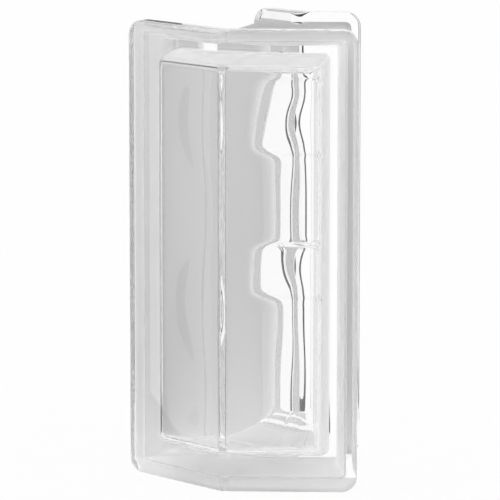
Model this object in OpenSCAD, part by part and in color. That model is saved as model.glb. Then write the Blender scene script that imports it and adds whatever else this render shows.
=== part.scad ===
// Corner glass block for a wall that turns through 45 degrees.
// Two pressed halves are fused along a seam into one hollow piece. A flange borders the outer and
// the inner faces, a mortar channel runs between the flanges round the rim, and the sealed cavity
// has draft, filleted edges and soft waves. Broad swells inside one outer face bend the view through it.
// The ridge between the two outer faces looks along -Y, and the block stands on the XY plane.

/* [Block] */
// Height of the block
block_height = 190; // [120:1:300]
// Thickness of the block, square to a face
block_thickness = 80; // [60:1:86]
// Width of one outer face, from the ridge to its end
face_width = 56.5; // [54:0.5:120]
// Angle that the wall turns through at the block
turn_angle = 45; // [20:1:48]

/* [Rim] */
// Radius of the corners, looking square at a face
corner_radius = 6.5; // [6:0.5:15]
// Radius along the edges of the faces
edge_radius = 3; // [1:0.5:4]
// Radius along the ridge between the outer faces
ridge_radius = 2.5; // [1:0.5:8]
// Radius along the fold between the inner faces
fold_radius = 10; // [2:0.5:14]
// Width of the flange that borders each face
flange_width = 9; // [7:0.5:16]
// Depth of the mortar channel beside the flanges
channel_depth = 5.5; // [4:0.5:8]
// How much deeper the mortar channel is at the seam
channel_fall = 3.3; // [0.5:0.1:5]
// Radius along the inner edges of the flanges
flange_round = 2; // [0.5:0.25:2.25]
// Radius of the fillets along the floor of the mortar channel
channel_fillet = 1.5; // [0.5:0.25:1.75]
// Width of the bead along the fused seam
seam_width = 5; // [3:0.5:8]
// Height of the bead along the fused seam
seam_height = 0.8; // [0.4:0.1:1]

/* [Cavity] */
// Thickness of the glass behind an outer face, in the troughs of its waves
face_wall = 7.5; // [5:0.5:12]
// Thickness of the glass behind an inner face
inner_wall = 10.5; // [7:0.5:13]
// Thickness of the glass below the mortar channel, at the seam
rim_wall = 2.6; // [2:0.1:5]
// Mean draft of the barrel-shaped sides of the cavity, from the seam to an outer face
outer_draft = 6.5; // [3:0.5:8]
// Mean draft of those sides from the seam to an inner face
inner_draft = 16; // [8:0.5:18]
// Radius of the fillet between the sides of the cavity and an outer face
outer_fillet = 2; // [1:0.5:5]
// Radius of the fillet between the sides of the cavity and an inner face
inner_fillet = 0.8; // [0.5:0.1:3]
// Radius of the cavity's upright corners, looking square at a face
cavity_corner = 3; // [2:0.5:6]
// Radius along the fold between the inner faces, inside the cavity
cavity_fold_radius = 8; // [3:0.5:9]

/* [Waves] */
// Height of a wave of the outer faces from trough to crest
wave_height = 0.15; // [0.1:0.05:2]
// Distance from one crest to the next, along a face
wave_pitch = 27; // [18:1:50]
// Reach of the meander of a crest, to either side
meander_reach = 5; // [0:0.5:10]
// Height of one turn of the meander
meander_pitch = 62; // [40:1:120]
// Width of the plain border in which the waves die out
wave_border = 8; // [4:1:12]

/* [Swells] */
// Height of the two broad shoulders inside the right outer face
shoulder_height = 3.4; // [0.5:0.1:4]
// Distance from the ridge at which a shoulder starts to rise
shoulder_start = 8; // [5:1:14]
// Distance from the ridge to the crest of a shoulder
shoulder_crest = 30; // [22:1:36]
// Height above the block's middle at which the upper shoulder starts
upper_shoulder_level = 44; // [20:1:60]
// Height above the block's middle at which the upper shoulder has fallen to half
upper_shoulder_fall = 72; // [62:1:90]
// Height above the block's middle at which the lower shoulder starts
lower_shoulder_level = -15; // [-40:1:0]
// Height from the start of the lower shoulder to its end
lower_shoulder_length = 22; // [12:1:40]
// Height over which a shoulder rises
shoulder_run = 6; // [5:0.5:12]
// Height of the two hills beyond the shoulders
hill_height = 0.6; // [0.1:0.1:1]
// Distance from the ridge at which a hill starts to rise
hill_start = 24; // [18:1:30]
// Distance from the ridge to the crest of a hill
hill_crest = 39; // [34:1:45]
// Height from the start of a shoulder to the middle of its hill
hill_offset = 13; // [6:1:20]
// Height of a hill between the places where half of it is left
hill_length = 13; // [8:1:20]
// Height at the foot and the top in which the swells die out
swell_border = 3; // [2:0.5:8]

/* [Hidden] */
$fn = 64;
// Amount by which a cutter runs past what it cuts
cut_past = 1;
// Depth by which the web runs into the flanges that it carries
web_seat = 1;

// Half of the turn, which each leg makes with the X axis
half_turn = turn_angle / 2;
// Place of the ridge, which centres the block's outline on the origin
ridge_set_back = ridge_radius * (1 / cos(half_turn) - 1);
inner_corner_round = edge_radius * (sin(half_turn) + cos(half_turn) - 1);
inner_corner_depth =
    face_width * sin(half_turn) + block_thickness * cos(half_turn) - inner_corner_round;
ridge_y = -(inner_corner_depth + ridge_set_back) / 2;

// Distances from the block's edge in to the cavity: at the seam, and at the flats of the faces
seam_inset = channel_depth + channel_fall + rim_wall;
outer_inset = face_inset(face_wall, outer_draft, outer_fillet);
inner_inset = face_inset(inner_wall, inner_draft, inner_fillet);

// Below 1, because a shoulder is steepest towards its start
shoulder_skew = 0.8;
// Height over which the upper shoulder fades towards the top
upper_shoulder_fade = 70;
// Height over which a hill rises
hill_run = 12;

// Divisions of the cavity's surface
leg_columns = 10;
straight_rows = 36;
corner_rows = 4;
fillet_steps = 3;
barrel_steps = 3;
rows = straight_rows + 2 * corner_rows;

// Rim of the block, cut across
// x runs out towards the edge, and y runs from the outer face to the inner one

// What lies between a square corner and its round, at the origin, with the corner at x = y = radius
module corner_waste(radius) {
    difference() {
        square(radius);
        circle(radius);
    }
}

// The edge of a flange: rounded wide at the face, at y = 0, and less at the mortar channel
module flange_section() {
    difference() {
        square([corner_radius, flange_width]);
        translate([corner_radius - edge_radius, edge_radius])
            mirror([0, 1])
                corner_waste(edge_radius);
        translate([corner_radius - flange_round, flange_width - flange_round])
            corner_waste(flange_round);
    }
}

// The fillet between the floor of the mortar channel, at x = 0, and a flange, at y = 0
module channel_fillet_section() {
    translate([channel_fillet, channel_fillet])
        mirror([1, 0])
            mirror([0, 1])
                corner_waste(channel_fillet);
}

// The bead of the fused seam, with its foot at x = 0
module seam_section() {
    bead_radius = (pow(seam_width / 2, 2) + pow(seam_height, 2)) / (2 * seam_height);
    intersection() {
        translate([seam_height - bead_radius, 0])
            circle(bead_radius);
        translate([-seam_height, -seam_width])
            square([2 * seam_height, 2 * seam_width]);
    }
}

// The web between the flanges, from x = 0 to the floor of the mortar channel
// The block's edge lies at x = reach, and the floor falls in a straight line towards the seam
module web_section(reach) {
    shallow = reach - channel_depth;
    deep = shallow - channel_fall;
    inner_flange = block_thickness - flange_width;
    half_seam = seam_width / 2;
    polygon([
        [0, flange_width - web_seat],
        [shallow, flange_width - web_seat],
        [shallow, flange_width + channel_fillet],
        [deep, block_thickness / 2 - half_seam],
        [deep, block_thickness / 2 + half_seam],
        [shallow, inner_flange - channel_fillet],
        [shallow, inner_flange + web_seat],
        [0, inner_flange + web_seat]
    ]);
    translate([shallow, flange_width])
        channel_fillet_section();
    translate([shallow, inner_flange])
        mirror([0, 1])
            channel_fillet_section();
    translate([deep, block_thickness / 2])
        seam_section();
}

// One leg of the block, solid
// u runs along X from the ridge to the end, the depth runs along Y and the height along Z

// The flange of the outer face: a plate with its edge carried round the foot, the end and the top
module flange() {
    core_width = face_width - corner_radius;
    core_height = block_height - 2 * corner_radius;
    translate([0, 0, corner_radius])
        cube([core_width, flange_width, core_height]);
    translate([core_width, 0, corner_radius])
        linear_extrude(height = core_height)
            flange_section();
    for (top = [0, 1])
        translate([0, 0, top ? block_height - corner_radius : corner_radius])
            mirror([0, 0, top]) {
                rotate([0, 90, 0])
                    linear_extrude(height = core_width)
                        flange_section();
                translate([core_width, 0, 0])
                    rotate([-90, 0, 0])
                        rotate_extrude(angle = 90)
                            flange_section();
            }
}

// The web that carries the flanges, with the channel's floor mitred where the end meets foot and top
module web() {
    intersection() {
        linear_extrude(height = block_height)
            web_section(face_width);
        translate([0, 0, block_height / 2])
            rotate([0, 90, 0])
                linear_extrude(height = face_width)
                    for (side = [0, 1])
                        mirror([side, 0])
                            web_section(block_height / 2);
    }
}

module solid_leg() {
    flange();
    translate([0, block_thickness, 0])
        mirror([0, 1, 0])
            flange();
    web();
}

// The leg turned to its side of the corner and mitred on the plane of the ridge
module mitred_leg() {
    reach = face_width + block_thickness;
    intersection() {
        rotate([0, 0, half_turn])
            solid_leg();
        translate([0, -cut_past, -cut_past])
            cube([reach, reach, block_height + 2 * cut_past]);
    }
}

// What the rounding of the ridge takes off its sharp edge
module ridge_waste() {
    tangent = ridge_radius * tan(half_turn);
    tangent_x = tangent * cos(half_turn);
    tangent_y = tangent * sin(half_turn);
    centre_y = ridge_radius / cos(half_turn);
    translate([0, 0, -cut_past])
        linear_extrude(height = block_height + 2 * cut_past)
            difference() {
                polygon([
                    [-tangent_x, tangent_y],
                    [-tangent_x, -cut_past],
                    [tangent_x, -cut_past],
                    [tangent_x, tangent_y],
                    [0, centre_y]
                ]);
                translate([0, centre_y])
                    circle(ridge_radius);
            }
}

// The fillet along the fold between the inner faces, which stops at the rounds of its foot and top
module fold_fillet() {
    tangent = fold_radius * tan(half_turn);
    tangent_x = tangent * cos(half_turn);
    tangent_y = tangent * sin(half_turn);
    translate([0, block_thickness / cos(half_turn), edge_radius])
        linear_extrude(height = block_height - 2 * edge_radius)
            difference() {
                polygon([
                    [-tangent_x, tangent_y],
                    [0, -cut_past],
                    [tangent_x, tangent_y]
                ]);
                translate([0, fold_radius / cos(half_turn)])
                    circle(fold_radius);
            }
}

module solid_block() {
    difference() {
        union() {
            mitred_leg();
            mirror([1, 0, 0])
                mitred_leg();
            fold_fillet();
        }
        ridge_waste();
    }
}

// Cavity
// Columns run from the left end (-leg_columns) through the ridge (0) to the right end, rows run up

function smooth(t) = let (c = min(max(t, 0), 1)) c * c * (3 - 2 * c);

// Draft of the cavity's side where it meets a fillet, because it starts upright at the seam
function end_draft(draft) = atan(2 * tan(draft));

// Depth of the drafted side of the cavity, from the seam to a fillet
function draft_run(wall, draft, fillet) =
    block_thickness / 2 - wall - fillet * (1 - sin(end_draft(draft)));

// Distance from the block's edge in to the flat of a face, inside the cavity
function face_inset(wall, draft, fillet) =
    seam_inset + draft_run(wall, draft, fillet) * tan(draft) + fillet * cos(end_draft(draft));

// Turn round the outline's corner at a row: 90 on the flat of the foot or the top, 0 on the end
function row_turn(row) =
    let (from_edge = min(row, rows - row)) 90 * (1 - min(from_edge / corner_rows, 1));

// Height of a row above mid-height
function row_height(row, inset) =
    let (
        straight = block_height / 2 - inset - cavity_corner,
        along = (row - corner_rows) / straight_rows,
        clipped = min(max(along, 0), 1),
        round = cavity_corner * sin(row_turn(row))
    ) straight * (2 * clipped - 1) + (row < rows / 2 ? -round : round);

// Distance from the ridge to the outline's end at a row
function row_reach(row, inset) =
    face_width - inset - cavity_corner * (1 - cos(row_turn(row)));

// Side shift of the wave crests at a height above mid-height
function meander(height) =
    meander_reach * (sin(360 * height / meander_pitch) + sin(360 * height / (1.7 * meander_pitch)) / 2);

// Height of the waves at a distance along the outer faces, which is negative left of the ridge
function wave(along, height) =
    wave_height * (1 + cos(360 * (along - meander(height)) / wave_pitch)) / 2;

// Waves that die out towards the border of the face
function bordered_wave(along, height, reach) =
    let (half_height = block_height / 2 - outer_inset)
    wave(along, height)
        * smooth((reach - abs(along)) / wave_border)
        * smooth((half_height - abs(height)) / wave_border);

// Share of a swell's height that is left, from its start to its crest and between two levels
function swell(along, height, start, crest, skew, low, low_run, high, high_run) =
    smooth(pow(min(max((along - start) / (crest - start), 0), 1), skew))
        * smooth((height - low) / low_run + 0.5)
        * smooth((high - height) / high_run + 0.5);

function shoulder(along, height, low, high, high_run) =
    shoulder_height * swell(
        along, height, shoulder_start, shoulder_crest, shoulder_skew, low, shoulder_run, high, high_run);

function hill(along, height, level) =
    hill_height * swell(
        along, height, hill_start, hill_crest, 1,
        level - hill_length / 2, hill_run, level + hill_length / 2, hill_run);

// Height of all the swells of the right outer face, which die out at the foot and the top
function face_swell(along, height) =
    let (
        half_height = block_height / 2 - outer_inset,
        lower_shoulder_end = lower_shoulder_level + lower_shoulder_length
    )
    smooth((half_height - abs(height)) / swell_border) * (
        shoulder(along, height, upper_shoulder_level, upper_shoulder_fall, upper_shoulder_fade)
        + shoulder(along, height, lower_shoulder_level, lower_shoulder_end, shoulder_run)
        + hill(along, height, upper_shoulder_level + hill_offset)
        + hill(along, height, lower_shoulder_level + hill_offset)
    );

// How far the rounding of the inner fold moves a point at a distance across and a depth
function fold_lift(across, depth) =
    let (
        share = (depth - block_thickness / 2) / (block_thickness / 2 - inner_wall),
        half_width = cavity_fold_radius * sin(half_turn) * share
    )
    across >= half_width ? 0
    : tan(half_turn) * ((across * across + half_width * half_width) / (2 * half_width) - across);

// Point in the block's frame from a distance along the leg, a depth and a height
function leg_point(column, along, depth, height) =
    let (across = along * cos(half_turn) - depth * sin(half_turn))
    [
        sign(column) * across,
        along * sin(half_turn) + depth * cos(half_turn) + fold_lift(abs(across), depth),
        block_height / 2 + height
    ];

// Distance along the leg of a column at a depth, with the given inset of the outline
function column_along(column, row, inset, depth) =
    let (mitre = depth * tan(half_turn))
    mitre + (row_reach(row, inset) - mitre) * abs(column) / leg_columns;

// Point of the outline with the given inset, or inside it, at a depth below the outer face
function outline_point(column, row, inset, depth) =
    leg_point(column, column_along(column, row, inset, depth), depth, row_height(row, inset));

// Point of the outer faces' grid, with their waves and swells
function outer_point(column, row) =
    let (
        height = row_height(row, outer_inset),
        along = sign(column) * column_along(column, row, outer_inset, face_wall),
        rise = bordered_wave(along, height, row_reach(row, outer_inset)) + face_swell(along, height)
    ) outline_point(column, row, outer_inset, face_wall + rise);

// Point of the side, which the swells push in beside their face and leave as it is at the seam
function side_point(column, row, inset, depth) =
    let (
        along = sign(column) * column_along(column, row, inset, depth),
        share = (block_thickness / 2 - depth) / (block_thickness / 2 - face_wall),
        rise = max(share, 0) * face_swell(along, row_height(row, inset))
    ) outline_point(column, row, inset, depth + rise);

// Stations down the side of the cavity from a face's flat to the seam: [depth, inset]
function side_stations(wall, draft, fillet) =
    let (
        run = draft_run(wall, draft, fillet),
        rise = run * tan(draft)
    )
    concat(
        [for (step = [1 : fillet_steps])
            let (turn = (90 - end_draft(draft)) * step / fillet_steps)
            [
                wall + fillet * (1 - cos(turn)),
                face_inset(wall, draft, fillet) - fillet * sin(turn)
            ]],
        [for (step = [1 : barrel_steps])
            let (to_seam = 1 - step / barrel_steps)
            [
                block_thickness / 2 - run * to_seam,
                seam_inset + rise * pow(to_seam, 2)
            ]]
    );

module cavity() {
    columns = 2 * leg_columns + 1;
    outer_side = side_stations(face_wall, outer_draft, outer_fillet);
    inner_side = side_stations(inner_wall, inner_draft, inner_fillet);
    // All stations between the two faces, the seam once
    stations = concat(
        outer_side,
        [for (k = [len(inner_side) - 2 : -1 : 0]) [block_thickness - inner_side[k][0], inner_side[k][1]]]
    );
    // Once round a face's border, seen from outside: foot, right end, top, left end
    border = concat(
        [for (c = [-leg_columns : leg_columns]) [c, 0]],
        [for (r = [1 : rows - 1]) [leg_columns, r]],
        [for (c = [leg_columns : -1 : -leg_columns]) [c, rows]],
        [for (r = [rows - 1 : -1 : 1]) [-leg_columns, r]]
    );
    border_count = len(border);
    grid_count = columns * (rows + 1);
    last = len(stations) + 1;

    outer_grid = [for (r = [0 : rows]) for (c = [-leg_columns : leg_columns]) outer_point(c, r)];
    inner_grid = [for (r = [0 : rows]) for (c = [-leg_columns : leg_columns])
        outline_point(c, r, inner_inset, block_thickness - inner_wall)];
    side_rings = [for (s = stations) for (b = border) side_point(b[0], b[1], s[1], s[0])];

    function grid_index(c, r) = c + leg_columns + columns * r;
    function index(ring, b) =
        let (place = border[b % border_count])
        ring == 0 ? grid_index(place[0], place[1])
        : ring == last ? grid_count + len(side_rings) + grid_index(place[0], place[1])
        : grid_count + (ring - 1) * border_count + b % border_count;
    function two_triangles(p, q, s, t) = [[p, q, s], [p, s, t]];

    outer_faces = [for (r = [0 : rows - 1]) for (c = [-leg_columns : leg_columns - 1])
        each two_triangles(
            grid_index(c, r), grid_index(c, r + 1), grid_index(c + 1, r + 1), grid_index(c + 1, r))];
    inner_faces = [for (triangle = outer_faces)
        [for (k = [2 : -1 : 0]) triangle[k] + grid_count + len(side_rings)]];
    side_faces = [for (ring = [0 : last - 1]) for (b = [0 : border_count - 1])
        each two_triangles(
            index(ring, b), index(ring, b + 1), index(ring + 1, b + 1), index(ring + 1, b))];

    polyhedron(
        points = concat(outer_grid, side_rings, inner_grid),
        faces = concat(outer_faces, side_faces, inner_faces),
        convexity = 8
    );
}

module glass_block() {
    color([0.87, 0.89, 0.89, 0.5])
        translate([0, ridge_y, 0])
            difference() {
                solid_block();
                cavity();
            }
}

glass_block();
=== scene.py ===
"""A hollow corner glass block, dressed as clear pressed glass on a pale studio floor.

The block has two outer faces that meet at an upright ridge, a flange round every face, a coated
mortar channel between the flanges and a sealed cavity with waves on the inside of its faces.
"""

import logging
import math
from dataclasses import dataclass, field
from enum import Enum
from typing import Iterable

import bpy
import numpy as np
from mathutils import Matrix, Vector

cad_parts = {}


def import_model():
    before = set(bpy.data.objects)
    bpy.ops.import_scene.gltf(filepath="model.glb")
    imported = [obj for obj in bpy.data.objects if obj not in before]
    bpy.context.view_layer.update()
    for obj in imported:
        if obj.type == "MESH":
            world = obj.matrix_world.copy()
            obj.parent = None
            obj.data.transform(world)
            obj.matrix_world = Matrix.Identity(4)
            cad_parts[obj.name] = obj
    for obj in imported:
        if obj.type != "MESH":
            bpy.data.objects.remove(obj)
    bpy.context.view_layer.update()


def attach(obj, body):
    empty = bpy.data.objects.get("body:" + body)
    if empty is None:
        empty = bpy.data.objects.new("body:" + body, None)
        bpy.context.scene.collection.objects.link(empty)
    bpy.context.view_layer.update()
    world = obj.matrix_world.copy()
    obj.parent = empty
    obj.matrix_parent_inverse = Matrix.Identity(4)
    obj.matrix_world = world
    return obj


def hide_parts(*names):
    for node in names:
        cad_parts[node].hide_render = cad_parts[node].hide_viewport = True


LOG = logging.getLogger("glass_block_scene")
MM = 0.001
BODY = "root"
BLOCK_NODE = "glass_block"
PIECE_NAME = "corner_glass_block"
GLASS_IOR = 1.52
# Points closer than these are one point: after a mirror, at the cavity's seam and at a cut
MIRROR_MERGE = 0.001 * MM
SEAM_MERGE = 0.01 * MM
CUT_MERGE = 0.0001 * MM


class Surface(Enum):
    """Material slots of the block's mesh."""

    GLASS = 0
    COATING = 1


@dataclass(frozen=True)
class BlockSizes:
    """Sizes of the block in metres, named as in the part's source.

    Args:
        height: Height of the block.
        thickness: Thickness of the block, square to a face.
        face_width: Width of one outer face, from the ridge to its end.
        turn: Angle that the wall turns through at the block, in radians.
        corner_radius: Radius of the faces' corners.
        edge_radius: Radius of the faces' edges.
        ridge_radius: Radius of the ridge, outside and inside.
        flange_width: Width of a flange, square to its face.
        channel_depth: Depth of the mortar channel beside a flange.
        channel_fall: How much deeper the channel is at the seam.
        flange_round: Radius of a flange's edge along the channel.
        channel_fillet: Radius between a flange and the channel's floor.
        seam_width: Width of the seam bead.
        seam_height: Height of the seam bead.
        face_wall: Thickness of the glass at the outer faces.
        inner_wall: Thickness of the glass at the inner faces.
        rim_wall: Thickness of the glass below the channel, at the seam.
        outer_draft: Mean draft of the cavity's outer half, in radians.
        inner_draft: Mean draft of its inner half, in radians.
        outer_fillet: Radius between the cavity's sides and its outer faces.
        inner_fillet: Radius between its sides and its inner faces.
        cavity_corner: Radius of the cavity's corners.
        fold_radius: Radius of the fold between the inner faces, outside.
        cavity_fold_radius: The same inside the cavity.
    """

    height: float = 190 * MM
    thickness: float = 80 * MM
    face_width: float = 56.5 * MM
    turn: float = math.radians(45)
    corner_radius: float = 6.5 * MM
    edge_radius: float = 3 * MM
    ridge_radius: float = 2.5 * MM
    flange_width: float = 9 * MM
    channel_depth: float = 5.5 * MM
    channel_fall: float = 3.3 * MM
    flange_round: float = 2 * MM
    channel_fillet: float = 1.5 * MM
    seam_width: float = 5 * MM
    seam_height: float = 0.8 * MM
    face_wall: float = 7.5 * MM
    inner_wall: float = 10.5 * MM
    rim_wall: float = 2.6 * MM
    outer_draft: float = math.radians(6.5)
    inner_draft: float = math.radians(16)
    outer_fillet: float = 4 * MM
    inner_fillet: float = 0.8 * MM
    cavity_corner: float = 3 * MM
    fold_radius: float = 10 * MM
    cavity_fold_radius: float = 8 * MM

    @property
    def half_turn(self) -> float:
        """Angle that each leg makes with the X axis."""
        return self.turn / 2

    @property
    def seam_inset(self) -> float:
        """Distance from the block's edge in to the cavity, at the seam."""
        return self.channel_depth + self.channel_fall + self.rim_wall

    @staticmethod
    def end_draft(draft: float) -> float:
        """Slope of the cavity's side where it meets a fillet: it starts upright at the seam."""
        return math.atan(2 * math.tan(draft))

    def draft_run(self, wall: float, draft: float, fillet: float) -> float:
        """Depth of the drafted side of the cavity, from the seam to a fillet."""
        return self.thickness / 2 - wall - fillet * (1 - math.sin(self.end_draft(draft)))

    def face_inset(self, wall: float, draft: float, fillet: float) -> float:
        """Distance from the block's edge in to the flat of a face, inside the cavity."""
        rise = self.draft_run(wall, draft, fillet) * math.tan(draft)
        return self.seam_inset + rise + fillet * math.cos(self.end_draft(draft))

    @property
    def ridge_y(self) -> float:
        """Place of the ridge's sharp edge, with the block's outline centred on the origin."""
        cosine, sine = math.cos(self.half_turn), math.sin(self.half_turn)
        set_back = self.ridge_radius * (1 / cosine - 1)
        corner_round = self.edge_radius * (sine + cosine - 1)
        depth = self.face_width * sine + self.thickness * cosine - corner_round
        return -(depth + set_back) / 2


@dataclass(frozen=True)
class WaveRelief:
    """Soft upright waves on the inside of the outer faces.

    Args:
        height: Height of a wave from trough to crest.
        pitch: Distance from one crest to the next, along a face.
        reach: Reach of the meander of a crest, to either side.
        turn_height: Height of one turn of the meander.
        slow_turn: Height of one turn of the meander's slower part, in turns of the other.
        slow_share: Reach of the slower part, as a share of the reach.
        border: Width of the plain border in which the waves die out.
    """

    height: float = 0.15 * MM
    pitch: float = 27 * MM
    reach: float = 5 * MM
    turn_height: float = 70 * MM
    slow_turn: float = 1.7
    slow_share: float = 0.5
    border: float = 8 * MM

    def meander(self, level: np.ndarray) -> np.ndarray:
        """Side shift of the crests at a height above the block's middle."""
        turn = 2 * math.pi * level / self.turn_height
        return self.reach * (np.sin(turn) + self.slow_share * np.sin(turn / self.slow_turn))

    def rise(self, along: np.ndarray, level: np.ndarray) -> np.ndarray:
        """Height of the waves at a distance along the faces, negative left of the ridge."""
        turn = 2 * math.pi * (along - self.meander(level)) / self.pitch
        return self.height * (1 + np.cos(turn)) / 2

    def fade(self, to_border: np.ndarray) -> np.ndarray:
        """Share of the waves that is left at a distance from the border."""
        share = np.clip(to_border / self.border, 0, 1)
        return share * share * (3 - 2 * share)


def ease(share: np.ndarray) -> np.ndarray:
    """Soft step from 0 to 1 as a share runs from 0 to 1."""
    return (1 - np.cos(math.pi * np.clip(share, 0, 1))) / 2


@dataclass(frozen=True)
class Swell:
    """A soft swell on the inside of an outer face, which bends what shows through it.

    Args:
        height: Height of the swell.
        start: Distance from the ridge at which it starts to rise, along the face.
        crest: Distance from the ridge at which it has its full height.
        low: Height above the block's middle at which half of it is left, at its lower end.
        high: The same at its upper end.
        low_run: Height over which the lower end rises.
        high_run: Height over which the upper end falls.
        skew: Below 1 where the swell is steepest towards its start.
    """

    height: float
    start: float
    crest: float
    low: float
    high: float
    low_run: float
    high_run: float
    skew: float = 0.8

    def rise(self, along: np.ndarray, level: np.ndarray) -> np.ndarray:
        """Height of the swell at a distance along its face."""
        share = np.clip((along - self.start) / (self.crest - self.start), 0, 1)
        across = ease(share ** self.skew)
        below = ease((level - self.low) / self.low_run + 0.5)
        above = ease((self.high - level) / self.high_run + 0.5)
        return self.height * across * below * above


@dataclass(frozen=True)
class FaceSwells:
    """The swells of one outer face: broad shoulders, and narrower hills towards the end.

    Args:
        border: Height at the foot and the top in which the swells die out.
        upper_shoulder: Broad shoulder in the upper part of the face.
        lower_shoulder: Broad shoulder below the middle.
        upper_hill: Narrow hill on the upper shoulder.
        lower_hill: Narrow hill on the lower shoulder.
    """

    border: float = 3 * MM
    upper_shoulder: Swell = Swell(3.4 * MM, 8 * MM, 30 * MM, 44 * MM, 72 * MM, 6 * MM, 70 * MM)
    lower_shoulder: Swell = Swell(3.4 * MM, 8 * MM, 30 * MM, -15 * MM, 7 * MM, 6 * MM, 6 * MM)
    upper_hill: Swell = Swell(0.6 * MM, 24 * MM, 39 * MM, 50.5 * MM, 63.5 * MM, 12 * MM, 12 * MM, 1.0)
    lower_hill: Swell = Swell(0.6 * MM, 24 * MM, 39 * MM, -8.5 * MM, 4.5 * MM, 12 * MM, 12 * MM, 1.0)

    def rise(self, along: np.ndarray, level: np.ndarray) -> np.ndarray:
        """Height of all the swells at a distance along the face."""
        swells = (self.upper_shoulder, self.lower_shoulder, self.upper_hill, self.lower_hill)
        return sum(swell.rise(along, level) for swell in swells)


@dataclass(frozen=True)
class FoldBead:
    """Small bead beside the fold between the cavity's inner faces.

    Args:
        height: Height of the bead over the face.
        half_width: Half of the bead's width.
        offset: How far its middle lies to the right of the fold.
        start_share: Share of the cavity's inner half, from the seam, beyond which the bead lies.
    """

    height: float = 0.8 * MM
    half_width: float = 1.6 * MM
    offset: float = -0.4 * MM
    start_share: float = 0.8

    def rise(self, across: np.ndarray) -> np.ndarray:
        """Height of the bead at a distance to the right of the fold."""
        return self.height * ease(1 - np.abs(across - self.offset) / self.half_width)


@dataclass(frozen=True)
class CoatOverlap:
    """How far the coat of the mortar channel runs up the flanges.

    Args:
        reach: How far past the channel the coat runs over the inner flange at the left end.
        border: Distance from the left end within which it runs so far.
        start: How far before the channel the coat starts on the outer flange.
        bare_gap: How far behind the outer flange it starts at the right end, where the flange is bare.
    """

    reach: float = 12 * MM
    border: float = 5.5 * MM
    start: float = 0.7 * MM
    bare_gap: float = 0.1 * MM

    def limits(self, across: np.ndarray, to_end: np.ndarray, level: np.ndarray,
               sizes: BlockSizes) -> tuple[np.ndarray, np.ndarray]:
        """Depths between which the rim is coated.

        Args:
            across: Distance to the right of the ridge.
            to_end: Distance to the end of the leg.
            level: Height above the block's middle.
            sizes: Sizes of the block.

        Returns:
            Depths below the outer face where the coat starts and ends.
        """
        flange = sizes.flange_width
        side_height = sizes.channel_depth - sizes.channel_fillet / 2
        beside = np.abs(level) < sizes.height / 2 - sizes.channel_depth
        bare_side = beside & (across > 0) & (to_end < side_height)
        front = np.where(bare_side, flange + self.bare_gap, flange - self.start)
        left_back = beside & (across < 0) & (to_end < self.border)
        back = sizes.thickness - flange + np.where(left_back, self.reach, 0.0)
        return front, back


@dataclass(frozen=True)
class ClearGlass:
    """Clear pressed glass: colourless, smooth, with a trace of unevenness.

    Args:
        name: Name of the material.
        tint: Colour of the glass.
        roughness: Roughness of its most uneven spots.
        ripple_scale: Fineness of the unevenness.
    """

    name: str = "clear_pressed_glass"
    tint: tuple[float, float, float, float] = (1.0, 1.0, 1.0, 1.0)
    roughness: float = 0.004
    ripple_scale: float = 60.0

    def material(self) -> bpy.types.Material:
        """Builds the glass as a node material.

        Returns:
            The finished material.
        """
        glass = bpy.data.materials.new(self.name)
        glass.use_nodes = True
        nodes, links = glass.node_tree.nodes, glass.node_tree.links
        shader = nodes["Principled BSDF"]
        shader.inputs["Base Color"].default_value = self.tint
        shader.inputs["Transmission Weight"].default_value = 1.0
        shader.inputs["Metallic"].default_value = 0.0
        shader.inputs["IOR"].default_value = GLASS_IOR
        place = nodes.new("ShaderNodeTexCoord")
        ripple = nodes.new("ShaderNodeTexNoise")
        ripple.inputs["Scale"].default_value = self.ripple_scale
        links.new(place.outputs["Object"], ripple.inputs["Vector"])
        smear = nodes.new("ShaderNodeMapRange")
        smear.inputs["To Min"].default_value = 0.0
        smear.inputs["To Max"].default_value = self.roughness
        links.new(ripple.outputs["Fac"], smear.inputs["Value"])
        links.new(smear.outputs["Result"], shader.inputs["Roughness"])
        return glass


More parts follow.
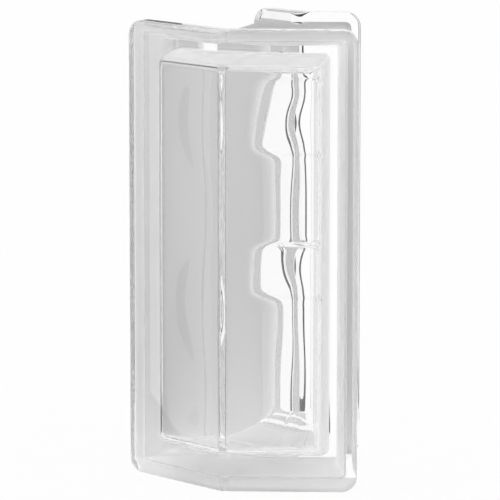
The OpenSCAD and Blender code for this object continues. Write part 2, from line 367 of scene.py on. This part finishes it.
@dataclass(frozen=True)
class EdgeCoating:
    """Pale coat on the mortar channel, which mortar sticks to, with painted shade that darkens it towards
    the front.

    Args:
        name: Name of the material.
        light: Colour of its light spots.
        dark: Colour of its dark spots.
        roughness: Roughness of the thin coat.
        shaded_front_glow: Share of light the coat scatters by the outer faces, kept low as painted shade.
        lit_back_glow: The same by the inner faces, kept high as painted light.
        front_shade_end: Place along Y up to which the painted shade of the front holds.
        back_light_start: Place along Y from which the painted light of the back holds.
        mottle_scale: Fineness of the spots.
    """

    name: str = "pale_edge_coating"
    light: tuple[float, float, float, float] = (1.0, 1.0, 1.0, 1.0)
    dark: tuple[float, float, float, float] = (0.985, 0.985, 0.985, 1.0)
    roughness: float = 0.9
    shaded_front_glow: float = 0.3
    lit_back_glow: float = 1.0
    front_shade_end: float = -10 * MM
    back_light_start: float = 15 * MM
    mottle_scale: float = 90.0

    def material(self) -> bpy.types.Material:
        """Builds the coat as a node material.

        Returns:
            The finished material.
        """
        coat = bpy.data.materials.new(self.name)
        coat.use_nodes = True
        nodes, links = coat.node_tree.nodes, coat.node_tree.links
        shader = nodes["Principled BSDF"]
        shader.inputs["Roughness"].default_value = self.roughness
        shader.inputs["Transmission Weight"].default_value = 1.0
        shader.inputs["IOR"].default_value = GLASS_IOR
        place = nodes.new("ShaderNodeTexCoord")
        mottle = nodes.new("ShaderNodeTexNoise")
        mottle.inputs["Scale"].default_value = self.mottle_scale
        links.new(place.outputs["Object"], mottle.inputs["Vector"])
        tone = nodes.new("ShaderNodeMix")
        tone.data_type = "RGBA"
        tone.inputs["A"].default_value = self.dark
        tone.inputs["B"].default_value = self.light
        links.new(mottle.outputs["Fac"], tone.inputs["Factor"])
        links.new(tone.outputs["Result"], shader.inputs["Base Color"])
        glow = nodes.new("ShaderNodeBsdfTranslucent")
        links.new(tone.outputs["Result"], glow.inputs["Color"])
        both = nodes.new("ShaderNodeMixShader")
        parts = nodes.new("ShaderNodeSeparateXYZ")
        links.new(place.outputs["Object"], parts.inputs["Vector"])
        # Painted shade: the coat's translucent share rises along Y from the outer faces to the inner
        # ones, so the coat is darker at its front and lighter at its back
        painted_shade_grade = nodes.new("ShaderNodeMapRange")
        painted_shade_grade.interpolation_type = "SMOOTHSTEP"
        painted_shade_grade.inputs["From Min"].default_value = self.front_shade_end
        painted_shade_grade.inputs["From Max"].default_value = self.back_light_start
        painted_shade_grade.inputs["To Min"].default_value = self.shaded_front_glow
        painted_shade_grade.inputs["To Max"].default_value = self.lit_back_glow
        links.new(parts.outputs["Y"], painted_shade_grade.inputs["Value"])
        links.new(painted_shade_grade.outputs["Result"], both.inputs["Fac"])
        links.new(shader.outputs["BSDF"], both.inputs[1])
        links.new(glow.outputs["BSDF"], both.inputs[2])
        links.new(both.outputs["Shader"], nodes["Material Output"].inputs["Surface"])
        return coat


def deselect_all() -> None:
    """Leaves object mode with nothing selected."""
    if bpy.context.object and bpy.context.object.mode != "OBJECT":
        bpy.ops.object.mode_set(mode="OBJECT")
    bpy.ops.object.select_all(action="DESELECT")


def apply_modifiers(piece: bpy.types.Object) -> None:
    """Applies every modifier of a piece, in order."""
    bpy.context.view_layer.objects.active = piece
    for modifier in list(piece.modifiers):
        bpy.ops.object.modifier_apply(modifier=modifier.name)


@dataclass
class Plate:
    """A rounded upright plate that is shaped from its middle outline out to a face.

    The plate lies in the frame of one leg: X runs along the face on both sides of the ridge, Y runs
    from the outer face to the inner one and Z runs up.

    Args:
        name: Name of the new object.
        half_width: Half of the outline's width.
        height: Height of the outline.
        radius: Radius of its corners.
        depth: Depth below the outer face at which it starts.
        middle: Height of its middle.
        arc_steps: How many edges a corner gets.
    """

    name: str
    half_width: float
    height: float
    radius: float
    depth: float
    middle: float
    arc_steps: int = 10

    def start(self) -> bpy.types.Object:
        """Adds the outline as one face that looks towards the outer side.

        Returns:
            The new object, in edit mode with its face selected.
        """
        deselect_all()
        bpy.ops.mesh.primitive_plane_add(
            size=1, rotation=(math.pi / 2, 0, 0), location=(0, self.depth, self.middle))
        piece = bpy.context.object
        piece.name = self.name
        bpy.ops.object.transform_apply(location=True, rotation=True, scale=True)
        bpy.ops.object.mode_set(mode="EDIT")
        bpy.ops.mesh.select_all(action="SELECT")
        bpy.ops.transform.resize(value=(2 * self.half_width, 1, self.height))
        bpy.ops.mesh.bevel(
            offset=self.radius, segments=self.arc_steps, profile=0.5, affect="VERTICES")
        bpy.ops.mesh.select_all(action="SELECT")
        return piece

    @staticmethod
    def advance(inset: float, forward: float) -> None:
        """Carries the selected face inwards and forwards, and leaves a strip behind it."""
        bpy.ops.mesh.inset(thickness=inset, depth=forward, use_even_offset=True)

    @staticmethod
    def scale_outline(half_width: float, half_height: float, growth: float) -> None:
        """Moves the selected outline's sides out by a length and keeps its corners about as round.

        Args:
            half_width: Half of the outline's width.
            half_height: Half of its height.
            growth: How far each side moves out.
        """
        bpy.ops.transform.resize(
            value=((half_width + growth) / half_width, 1, (half_height + growth) / half_height))

    def advance_through(self, stations: list[tuple[float, float]]) -> None:
        """Carries the selected face through stations of inset and forward distance.

        Args:
            stations: Places to pass, counted from where the face is.
        """
        last_inset, last_forward = 0.0, 0.0
        for inset, forward in stations:
            self.advance(inset - last_inset, forward - last_forward)
            last_inset, last_forward = inset, forward


def quarter_round(radius: float, steps: int, turn: float = math.pi / 2) -> list[tuple[float, float]]:
    """Stations of a round that starts along the way forward and turns inwards.

    Args:
        radius: Radius of the round.
        steps: How many strips it gets.
        turn: Angle that it turns through.

    Returns:
        Pairs of inset and forward distance.
    """
    angles = [turn * step / steps for step in range(1, steps + 1)]
    return [(radius * (1 - math.cos(a)), radius * math.sin(a)) for a in angles]


def quarter_fillet(radius: float, steps: int) -> list[tuple[float, float]]:
    """Stations of a hollow round that starts inwards and turns along the way forward."""
    angles = [math.pi / 2 * step / steps for step in range(1, steps + 1)]
    return [(radius * math.sin(a), radius * (1 - math.cos(a))) for a in angles]


@dataclass
class GlassBlock:
    """The block: an outer shell and a cavity shell, joined into one piece of glass.

    Args:
        sizes: Sizes of the block.
        relief: Waves on the inside of its outer faces.
        swells: Swells on the inside of the right outer face.
        bead: Bead beside the fold in the cavity.
        glass: Finish of the glass.
        coating: Finish of the mortar channel.
        overlap: How far the channel's coat runs up the flanges.
        round_steps: How many strips a round gets.
        barrel_steps: How many strips a side of the cavity gets.
        hold: Width of the strips that keep the flat beside a round flat.
        grid_step: Distance between the rows and columns of the mesh.
        crease_step: The same for the columns in the ridge and the folds.
        fine_half_width: Distance from the ridge within which the columns of the folds are enough.
        smooth_angle: Angle up to which neighbouring faces are shaded as one.
    """

    sizes: BlockSizes
    relief: WaveRelief
    swells: FaceSwells
    bead: FoldBead = field(default_factory=FoldBead)
    glass: ClearGlass = field(default_factory=ClearGlass)
    coating: EdgeCoating = field(default_factory=EdgeCoating)
    overlap: CoatOverlap = field(default_factory=CoatOverlap)
    round_steps: int = 8
    barrel_steps: int = 10
    hold: float = 0.3 * MM
    grid_step: float = 1.25 * MM
    crease_step: float = 0.2 * MM
    fine_half_width: float = 3.2 * MM
    smooth_angle: float = math.radians(35)

    def build(self) -> bpy.types.Object:
        """Models the block and dresses it.

        Returns:
            The finished piece.
        """
        outer = self.outer_shell()
        cavity = self.cavity_shell()
        block = self.join(outer, cavity)
        self.dress(block)
        return block

    def outer_shell(self) -> bpy.types.Object:
        """Models the outside: faces, rounded edges, flanges, channel and seam bead.

        Returns:
            The closed outer shell, in the block's frame.
        """
        s = self.sizes
        flat_end = s.flange_width - s.flange_round
        plate = Plate("outer_shell", s.face_width, s.height, s.corner_radius, flat_end, s.height / 2)
        shell = plate.start()
        for run in (self.hold, flat_end - s.edge_radius - 2 * self.hold, self.hold):
            plate.advance(0, run)
        plate.advance_through(quarter_round(s.edge_radius, self.round_steps))
        plate.advance(self.hold, 0)
        self.fill_open_side()
        plate.advance_through(quarter_round(s.flange_round, self.round_steps))
        plate.advance(s.channel_depth - s.flange_round - s.channel_fillet, 0)
        plate.advance_through(quarter_fillet(s.channel_fillet, self.round_steps))
        floor_run = s.thickness / 2 - s.seam_width / 2 - s.flange_width - s.channel_fillet
        half_u = s.face_width - s.channel_depth
        half_z = s.height / 2 - s.channel_depth
        step = s.channel_fall / self.round_steps
        for _ in range(self.round_steps):
            plate.advance(0, floor_run / self.round_steps)
            plate.scale_outline(half_u, half_z, -step)
            half_u, half_z = half_u - step, half_z - step
        self.raise_seam_bead(plate)
        bpy.ops.mesh.delete(type="ONLY_FACE")
        self.fold(shell, s.fold_radius)
        self.cut_rows(shell)
        return shell

    @staticmethod
    def fill_open_side() -> None:
        """Closes the open side of the shell in edit mode and leaves that face selected."""
        bpy.ops.mesh.select_mode(type="EDGE")
        bpy.ops.mesh.select_all(action="DESELECT")
        bpy.ops.mesh.select_non_manifold()
        bpy.ops.mesh.edge_face_add()
        bpy.ops.mesh.select_mode(type="FACE")
        bpy.ops.mesh.normals_make_consistent(inside=False)

    def raise_seam_bead(self, plate: Plate) -> None:
        """Carries the selected face over half of the seam bead, out and forward.

        Args:
            plate: The plate that is being shaped.
        """
        s = self.sizes
        half = s.seam_width / 2
        radius = (half * half + s.seam_height * s.seam_height) / (2 * s.seam_height)
        half_u = s.face_width - s.channel_depth - s.channel_fall
        half_z = s.height / 2 - s.channel_depth - s.channel_fall
        last = 0.0
        for step in range(1, self.round_steps + 1):
            to_seam = half * (1 - step / self.round_steps)
            rise = math.sqrt(radius * radius - to_seam * to_seam) - (radius - s.seam_height)
            plate.advance(0, half / self.round_steps)
            plate.scale_outline(half_u + last, half_z + last, rise - last)
            last = rise

    def cavity_half(self, name: str, wall: float, draft: float, fillet: float) -> bpy.types.Object:
        """Models half of the cavity in the frame of one leg, from the seam to the outer side.

        Args:
            name: Name of the half.
            wall: Thickness of the glass behind its face.
            draft: Mean draft of its side.
            fillet: Radius between its side and its face.

        Returns:
            The half, open at the seam, in edit mode.
        """
        s = self.sizes
        half_u, half_z = s.face_width - s.seam_inset, s.height / 2 - s.seam_inset
        plate = Plate(name, half_u, 2 * half_z, s.cavity_corner, s.thickness / 2, s.height / 2)
        half = plate.start()
        run = s.draft_run(wall, draft, fillet)
        for step in range(1, self.barrel_steps + 1):
            plate.advance(0, run / self.barrel_steps)
            inwards = run * math.tan(draft) * (2 * step - 1) / self.barrel_steps ** 2
            plate.scale_outline(half_u, half_z, -inwards)
            half_u, half_z = half_u - inwards, half_z - inwards
        whole = math.pi / 2 - s.end_draft(draft)
        turns = [whole * (1 - k / self.round_steps) for k in range(self.round_steps + 1)]
        stations = [(-fillet * math.sin(turn), fillet * math.cos(turn)) for turn in turns]
        for before, after in zip(stations, stations[1:]):
            inwards = after[0] - before[0]
            plate.advance(0, after[1] - before[1])
            plate.scale_outline(half_u, half_z, -inwards)
            half_u, half_z = half_u - inwards, half_z - inwards
        return half

    def cavity_shell(self) -> bpy.types.Object:
        """Models the inside: barrel-shaped sides, fillets and faces with waves.

        Returns:
            The closed cavity shell, in the block's frame, with its faces looking into the cavity.
        """
        s = self.sizes
        inner = self.cavity_half("cavity_inner_half", s.inner_wall, s.inner_draft, s.inner_fillet)
        bpy.ops.mesh.select_all(action="SELECT")
        bpy.ops.transform.mirror(
            orient_type="GLOBAL", constraint_axis=(False, True, False),
            center_override=(0, s.thickness / 2, s.height / 2))
        deselect_all()
        shell = self.cavity_half("cavity_shell", s.face_wall, s.outer_draft, s.outer_fillet)
        deselect_all()
        inner.select_set(True)
        shell.select_set(True)
        bpy.context.view_layer.objects.active = shell
        bpy.ops.object.join()
        bpy.ops.object.mode_set(mode="EDIT")
        bpy.ops.mesh.select_all(action="SELECT")
        bpy.ops.mesh.remove_doubles(threshold=SEAM_MERGE)
        self.turn_to_legs(shell, s.cavity_fold_radius)
        self.cut_grid(shell)
        self.raise_waves(shell)
        bpy.ops.object.mode_set(mode="EDIT")
        bpy.ops.mesh.select_all(action="SELECT")
        bpy.ops.mesh.normals_make_consistent(inside=True)
        bpy.ops.object.mode_set(mode="OBJECT")
        return shell

    def fold(self, shell: bpy.types.Object, fold_radius: float) -> None:
        """Mirrors half a plate across the seam, turns it to its leg and mirrors that at the ridge.

        Args:
            shell: Half a plate in edit mode, open at the seam.
            fold_radius: Radius of the fold between the inner faces.
        """
        s = self.sizes
        bpy.ops.mesh.select_all(action="SELECT")
        bpy.ops.transform.translate(value=(0, -s.thickness / 2, 0))
        bpy.ops.object.mode_set(mode="OBJECT")
        deselect_all()
        shell.select_set(True)
        bpy.context.view_layer.objects.active = shell
        across_seam = shell.modifiers.new("across_seam", "MIRROR")
        across_seam.use_axis = (False, True, False)
        across_seam.merge_threshold = MIRROR_MERGE
        apply_modifiers(shell)
        shell.location = (0, s.thickness / 2, 0)
        bpy.ops.object.transform_apply(location=True, rotation=True, scale=True)
        self.turn_to_legs(shell, fold_radius)

    def turn_to_legs(self, shell: bpy.types.Object, fold_radius: float) -> None:
        """Turns a whole plate to its leg and mirrors it at the ridge.

        Args:
            shell: The plate.
            fold_radius: Radius of the fold between the inner faces.
        """
        s = self.sizes
        deselect_all()
        shell.select_set(True)
        bpy.context.view_layer.objects.active = shell
        shell.rotation_euler = (0, 0, s.half_turn)
        bpy.ops.object.transform_apply(location=True, rotation=True, scale=True)
        across_ridge = shell.modifiers.new("across_ridge", "MIRROR")
        across_ridge.use_axis = (True, False, False)
        across_ridge.use_bisect_axis = (True, False, False)
        across_ridge.merge_threshold = MIRROR_MERGE
        apply_modifiers(shell)
        shell.location = (0, s.ridge_y, 0)
        bpy.ops.object.transform_apply(location=True, rotation=True, scale=True)
        self.round_creases(shell, fold_radius)

    @staticmethod
    def cut(shell: bpy.types.Object, axis: Vector, places: Iterable[float]) -> None:
        """Cuts a shell's faces along planes square to an axis.

        Args:
            shell: The shell to cut.
            axis: Normal of the planes.
            places: Distances of the planes along the axis.
        """
        bpy.context.view_layer.objects.active = shell
        bpy.ops.object.mode_set(mode="EDIT")
        for place in places:
            bpy.ops.mesh.select_all(action="SELECT")
            bpy.ops.mesh.bisect(plane_co=axis * place, plane_no=axis, threshold=CUT_MERGE)
        bpy.ops.object.mode_set(mode="OBJECT")

    def round_creases(self, shell: bpy.types.Object, fold_radius: float) -> None:
        """Rounds the ridge and the inner fold of a shell.

        Args:
            shell: The folded shell.
            fold_radius: Radius of the fold between the inner faces.
        """
        s = self.sizes
        ridge_half = s.ridge_radius * math.sin(s.half_turn)
        fold_half = fold_radius * math.sin(s.half_turn)
        count = math.ceil(fold_half / self.crease_step)
        places = [k * self.crease_step for k in range(-count, count + 1) if k]
        self.cut(shell, Vector((1, 0, 0)), places)
        points = self.read_points(shell)
        across = np.abs(points[:, 0])
        depth = self.leg_frame(points)[1]
        half = np.where(depth > s.thickness / 2, fold_half, ridge_half)
        near = across < half
        lift = math.tan(s.half_turn) * ((across ** 2 + half ** 2) / (2 * half) - across)
        points[near, 1] += lift[near]
        self.write_points(shell, points)

    def cut_grid(self, shell: bpy.types.Object) -> None:
        """Cuts the cavity's faces into the grid that the waves need."""
        count = int(self.sizes.face_width / self.grid_step)
        columns = [k * self.grid_step for k in range(-count, count + 1)]
        beside = [x for x in columns if abs(x) > self.fine_half_width + self.grid_step / 4]
        self.cut(shell, Vector((1, 0, 0)), beside)
        self.cut_rows(shell)

    def cut_rows(self, shell: bpy.types.Object) -> None:
        """Cuts a shell into level rows, a grid step apart."""
        rows = int(self.sizes.height / self.grid_step)
        self.cut(shell, Vector((0, 0, 1)), [row * self.grid_step for row in range(1, rows)])

    def leg_frame(self, points: np.ndarray) -> tuple[np.ndarray, np.ndarray, np.ndarray]:
        """Turns points of the block into distances along the leg, depth and height above the middle.

        Args:
            points: Points in the block's frame.

        Returns:
            Distance from the ridge along the leg, depth below the outer face and height.
        """
        s = self.sizes
        cosine, sine = math.cos(s.half_turn), math.sin(s.half_turn)
        across = np.abs(points[:, 0])
        back = points[:, 1] - s.ridge_y
        along = across * cosine + back * sine
        depth = back * cosine - across * sine
        return along, depth, points[:, 2] - s.height / 2

    def raise_waves(self, shell: bpy.types.Object) -> None:
        """Lifts soft waves and swells out of the cavity's outer faces and a bead out of its inner ones.

        Args:
            shell: The cavity's shell, cut into its grid.
        """
        s = self.sizes
        points = self.read_points(shell)
        along, depth, level = self.leg_frame(points)
        signed = np.sign(points[:, 0]) * along
        inset = s.face_inset(s.face_wall, s.outer_draft, s.outer_fillet)
        half_height = s.height / 2 - inset
        reach = s.face_width - inset
        on_outer_face = depth < s.face_wall + s.ridge_radius
        lift = self.relief.rise(signed, level) * self.relief.fade(reach - along)
        lift *= self.relief.fade(half_height - np.abs(level))
        lift += self.swells.rise(signed, level) * ease((half_height - np.abs(level)) / self.swells.border)
        step = np.where(on_outer_face, lift, 0.0)
        points[:, 0] -= np.sign(points[:, 0]) * step * math.sin(s.half_turn)
        points[:, 1] += step * math.cos(s.half_turn)
        half_depth = s.thickness / 2
        inner_share = (depth - half_depth) / (half_depth - s.inner_wall)
        beside_fold = inner_share > self.bead.start_share
        points[:, 1] -= np.where(beside_fold, self.bead.rise(points[:, 0]), 0.0)
        self.write_points(shell, points)

    @staticmethod
    def read_points(shell: bpy.types.Object) -> np.ndarray:
        """Reads a shell's points as rows of x, y and z."""
        flat = np.zeros(len(shell.data.vertices) * 3)
        shell.data.vertices.foreach_get("co", flat)
        return flat.reshape(-1, 3)

    @staticmethod
    def write_points(shell: bpy.types.Object, points: np.ndarray) -> None:
        """Writes a shell's points back."""
        shell.data.vertices.foreach_set("co", points.ravel())
        shell.data.update()

    def join(self, outer: bpy.types.Object, cavity: bpy.types.Object) -> bpy.types.Object:
        """Joins the two shells into one piece.

        Args:
            outer: The outer shell.
            cavity: The cavity's shell.

        Returns:
            The joined piece.
        """
        deselect_all()
        cavity.select_set(True)
        outer.select_set(True)
        bpy.context.view_layer.objects.active = outer
        bpy.ops.object.join()
        outer.name = PIECE_NAME
        bpy.ops.object.shade_smooth_by_angle(angle=self.smooth_angle)
        return outer

    def dress(self, block: bpy.types.Object) -> None:
        """Gives the block its glass, and the mortar channel its coat.

        Args:
            block: The joined piece.
        """
        s = self.sizes
        block.data.materials.clear()
        block.data.materials.append(self.glass.material())
        block.data.materials.append(self.coating.material())
        centres = np.array([face.center for face in block.data.polygons])
        along, depth, level = self.leg_frame(centres)
        edge = np.minimum(s.face_width - along, s.height / 2 - np.abs(level))
        on_rim = edge < s.channel_depth + s.channel_fall + s.rim_wall / 2
        front, back = self.overlap.limits(centres[:, 0], s.face_width - along, level, s)
        coated = on_rim & (depth > front) & (depth < back)
        slots = np.where(coated, Surface.COATING.value, Surface.GLASS.value)
        block.data.polygons.foreach_set("material_index", slots.astype(np.int32))
        block.data.update()


@dataclass(frozen=True)
class StudioCard:
    """An upright card with a mat before it, which clear edges show as a darker line.

    Args:
        name: Name of the card.
        bearing: Angle to the left of the way that the camera looks, in radians.
        half_angle: Half of the angle that the card fills, seen from the block.
        tone: How much light the card sends back, from 0 to 1.
        distance: Distance from the block.
        height: Height of the card.
        mat: Length of the mat on the floor, from the card towards the block.
        mat_lift: Height of the mat above the floor.
        roughness: Roughness of the paper.
    """

    name: str
    bearing: float
    half_angle: float
    tone: float
    distance: float = 0.25
    height: float = 0.4
    mat: float = 0.14
    mat_lift: float = 0.5 * MM
    roughness: float = 0.9

    def build(self, look: float) -> None:
        """Stands the card up behind its mat, where only clear glass shows them.

        Args:
            look: Angle of the camera's level view from the Y axis, in radians.
        """
        turn = look + self.bearing
        ahead = Vector((-math.sin(turn), math.cos(turn), 0))
        up = Vector((0, 0, 1))
        width = 2 * self.distance * math.tan(self.half_angle)
        card_place = ahead * self.distance + up * self.height / 2
        mat_place = ahead * (self.distance - self.mat / 2) + up * self.mat_lift
        card = self.sheet((math.pi / 2, 0, turn), card_place, (width, self.height))
        card.name = self.name
        self.sheet((0, 0, turn), mat_place, (width, self.mat))
        card.select_set(True)
        bpy.context.view_layer.objects.active = card
        bpy.ops.object.join()
        card.data.materials.append(self.paper())
        card.visible_camera = False
        card.visible_diffuse = False
        card.visible_shadow = False

    @staticmethod
    def sheet(turns: tuple[float, float, float], place: Vector,
              size: tuple[float, float]) -> bpy.types.Object:
        """Adds a flat sheet with its place in its mesh.

        Args:
            turns: Turns of the sheet about the axes, in radians.
            place: Place of its middle.
            size: Its width and its length.

        Returns:
            The sheet, selected.
        """
        deselect_all()
        bpy.ops.mesh.primitive_plane_add(size=1, rotation=turns, location=place)
        sheet = bpy.context.object
        sheet.scale = (*size, 1)
        bpy.ops.object.transform_apply(location=True, rotation=True, scale=True)
        return sheet

    def paper(self) -> bpy.types.Material:
        """Builds the card's dull paper.

        Returns:
            The finished material.
        """
        paper = bpy.data.materials.new(self.name)
        paper.use_nodes = True
        shader = paper.node_tree.nodes["Principled BSDF"]
        shader.inputs["Base Color"].default_value = (self.tone, self.tone, self.tone, 1)
        shader.inputs["Roughness"].default_value = self.roughness
        return paper


def math_node(tree: bpy.types.NodeTree, operation: str, first: bpy.types.NodeSocket,
              second: bpy.types.NodeSocket | float) -> bpy.types.NodeSocket:
    """Adds a Math node to a material.

    Args:
        tree: Node tree of the material.
        operation: What the node does with its two inputs.
        first: Socket that feeds the first input.
        second: Socket that feeds the second input, or its value.

    Returns:
        The node's output.
    """
    node = tree.nodes.new("ShaderNodeMath")
    node.operation = operation
    tree.links.new(first, node.inputs[0])
    if isinstance(second, bpy.types.NodeSocket):
        tree.links.new(second, node.inputs[1])
    else:
        node.inputs[1].default_value = second
    return node.outputs["Value"]


@dataclass
class Studio:
    """Pale floor, white surroundings that give a soft light, and dark cards for clear glass.

    Args:
        look: Angle of the camera's level view from the Y axis, in radians.
        floor_size: Length of the floor's sides.
        cards: Cards round the block.
        floor_tone: How much light the floor sends back, from 0 to 1.
        floor_roughness: Roughness of the floor.
        floor_white: Share of plain white in the floor, where the camera sees it.
        floor_glimpse: The same through glass, as a share of that.
        ceiling_tone: Light from straight above, as a share of the light from the sides.
        wall_top: Sine of the angle above the level up to which the light is the sides' own.
        ceiling_edge: Sine of the angle above which it is the ceiling's own.
    """

    look: float
    floor_size: float = 6.0
    cards: tuple[StudioCard, ...] = (
        StudioCard("left_card", math.radians(76), math.radians(12), 0.1, 0.22, 0.55),
        StudioCard("left_back_card", math.radians(35), math.radians(8), 0.0),
        StudioCard("middle_back_card", math.radians(11), math.radians(2.3), 0.0),
        StudioCard("right_back_card", math.radians(-31), math.radians(5), 0.0),
    )
    floor_tone: float = 0.95
    floor_roughness: float = 0.9
    floor_white: float = 0.95
    floor_glimpse: float = 0.6
    ceiling_tone: float = 0.82
    wall_top: float = 0.15
    ceiling_edge: float = 0.75

    def build(self) -> None:
        """Builds the floor, the surroundings and the cards."""
        self.floor()
        self.surroundings()
        for card in self.cards:
            card.build(self.look)

    def floor(self) -> None:
        """Lays a pale floor that keeps the block's shadow."""
        deselect_all()
        bpy.ops.mesh.primitive_plane_add(size=self.floor_size)
        floor = bpy.context.object
        floor.name = "studio_floor"
        pale = bpy.data.materials.new("pale_floor")
        pale.use_nodes = True
        tree = pale.node_tree
        nodes, links = tree.nodes, tree.links
        shader = nodes["Principled BSDF"]
        shader.inputs["Base Color"].default_value = (self.floor_tone, self.floor_tone, self.floor_tone, 1)
        shader.inputs["Roughness"].default_value = self.floor_roughness
        path = nodes.new("ShaderNodeLightPath").outputs
        seen = math_node(tree, "MAXIMUM", path["Is Camera Ray"], path["Is Glossy Ray"])
        glimpse = math_node(tree, "MULTIPLY", path["Is Transmission Ray"], self.floor_glimpse)
        shown = math_node(tree, "MAXIMUM", seen, glimpse)
        share = math_node(tree, "MULTIPLY", shown, self.floor_white)
        white = nodes.new("ShaderNodeEmission")
        white.inputs["Strength"].default_value = 1.0
        mix = nodes.new("ShaderNodeMixShader")
        links.new(share, mix.inputs["Fac"])
        links.new(shader.outputs["BSDF"], mix.inputs[1])
        links.new(white.outputs["Emission"], mix.inputs[2])
        links.new(mix.outputs["Shader"], nodes["Material Output"].inputs["Surface"])
        floor.data.materials.append(pale)

    def surroundings(self) -> None:
        """Sets white surroundings that are a little darker towards the ceiling."""
        world = bpy.data.worlds.new("white_studio")
        world.use_nodes = True
        bpy.context.scene.world = world
        nodes, links = world.node_tree.nodes, world.node_tree.links
        place = nodes.new("ShaderNodeTexCoord")
        parts = nodes.new("ShaderNodeSeparateXYZ")
        links.new(place.outputs["Generated"], parts.inputs["Vector"])
        rise = nodes.new("ShaderNodeMapRange")
        rise.interpolation_type = "SMOOTHSTEP"
        rise.inputs["From Min"].default_value = self.wall_top
        rise.inputs["From Max"].default_value = self.ceiling_edge
        rise.inputs["To Min"].default_value = 1.0
        rise.inputs["To Max"].default_value = self.ceiling_tone
        links.new(parts.outputs["Z"], rise.inputs["Value"])
        light = nodes["Background"]
        links.new(rise.outputs["Result"], light.inputs["Color"])
        light.inputs["Strength"].default_value = 1.0


@dataclass(frozen=True)
class PhotoCamera:
    """Camera at the photograph's viewing angle, in a frame of 500 by 500 pixels.

    Args:
        azimuth: Angle from the ridge's own direction, in radians.
        distance: Level distance from the ridge.
        rise: Height above the block's top.
        focal_pixels: Focal length in pixels of the frame.
        frame_pixels: Width and height of the frame.
        ridge_pixel: Where the middle of the ridge lies in the frame, from its left top corner.
        sensor_width: Width of the camera's sensor in millimetres.
    """

    azimuth: float = math.radians(25.18)
    distance: float = 1606 * MM
    rise: float = 174.4 * MM
    focal_pixels: float = 4019.0
    frame_pixels: float = 500.0
    ridge_pixel: tuple[float, float] = (218.33, 263.64)
    sensor_width: float = 36.0

    def build(self, sizes: BlockSizes) -> bpy.types.Object:
        """Adds the camera and makes it the scene's own.

        Args:
            sizes: Sizes of the block that it looks at.

        Returns:
            The camera.
        """
        ridge = Vector((0, sizes.ridge_y, sizes.height / 2))
        stand = Vector((
            math.sin(self.azimuth) * self.distance,
            sizes.ridge_y - math.cos(self.azimuth) * self.distance,
            sizes.height + self.rise,
        ))
        ahead = (ridge - stand).normalized()
        right = ahead.cross(Vector((0, 0, 1))).normalized()
        up = right.cross(ahead)
        centre = self.frame_pixels / 2
        aim = ahead + right * (centre - self.ridge_pixel[0]) / self.focal_pixels
        aim += up * (self.ridge_pixel[1] - centre) / self.focal_pixels
        lens = bpy.data.cameras.new("photo_camera")
        lens.sensor_width = self.sensor_width
        lens.lens = self.focal_pixels / self.frame_pixels * self.sensor_width
        camera = bpy.data.objects.new("photo_camera", lens)
        bpy.context.scene.collection.objects.link(camera)
        camera.location = stand
        camera.rotation_euler = aim.to_track_quat("-Z", "Y").to_euler()
        bpy.context.scene.camera = camera
        return camera


@dataclass(frozen=True)
class LightBounces:
    """How often a ray may bounce, enough to get through the block's many surfaces."""

    total: int = 32
    transmission: int = 32
    glossy: int = 16
    diffuse: int = 12

    def apply(self) -> None:
        """Sets the scene's bounces."""
        cycles = bpy.context.scene.cycles
        cycles.max_bounces = self.total
        cycles.transmission_bounces = self.transmission
        cycles.glossy_bounces = self.glossy
        cycles.diffuse_bounces = self.diffuse


def main() -> None:
    """Builds the block, the studio and the camera."""
    logging.basicConfig(level=logging.INFO)
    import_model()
    bpy.context.scene.view_settings.view_transform = "Standard"
    LightBounces().apply()
    sizes = BlockSizes()
    viewpoint = PhotoCamera()
    viewpoint.build(sizes)
    block = GlassBlock(sizes, WaveRelief(), FaceSwells()).build()
    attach(block, BODY)
    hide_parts(BLOCK_NODE)
    LOG.info("%s has %d faces", block.name, len(block.data.polygons))
    Studio(viewpoint.azimuth).build()


if __name__ == "__main__":
    main()
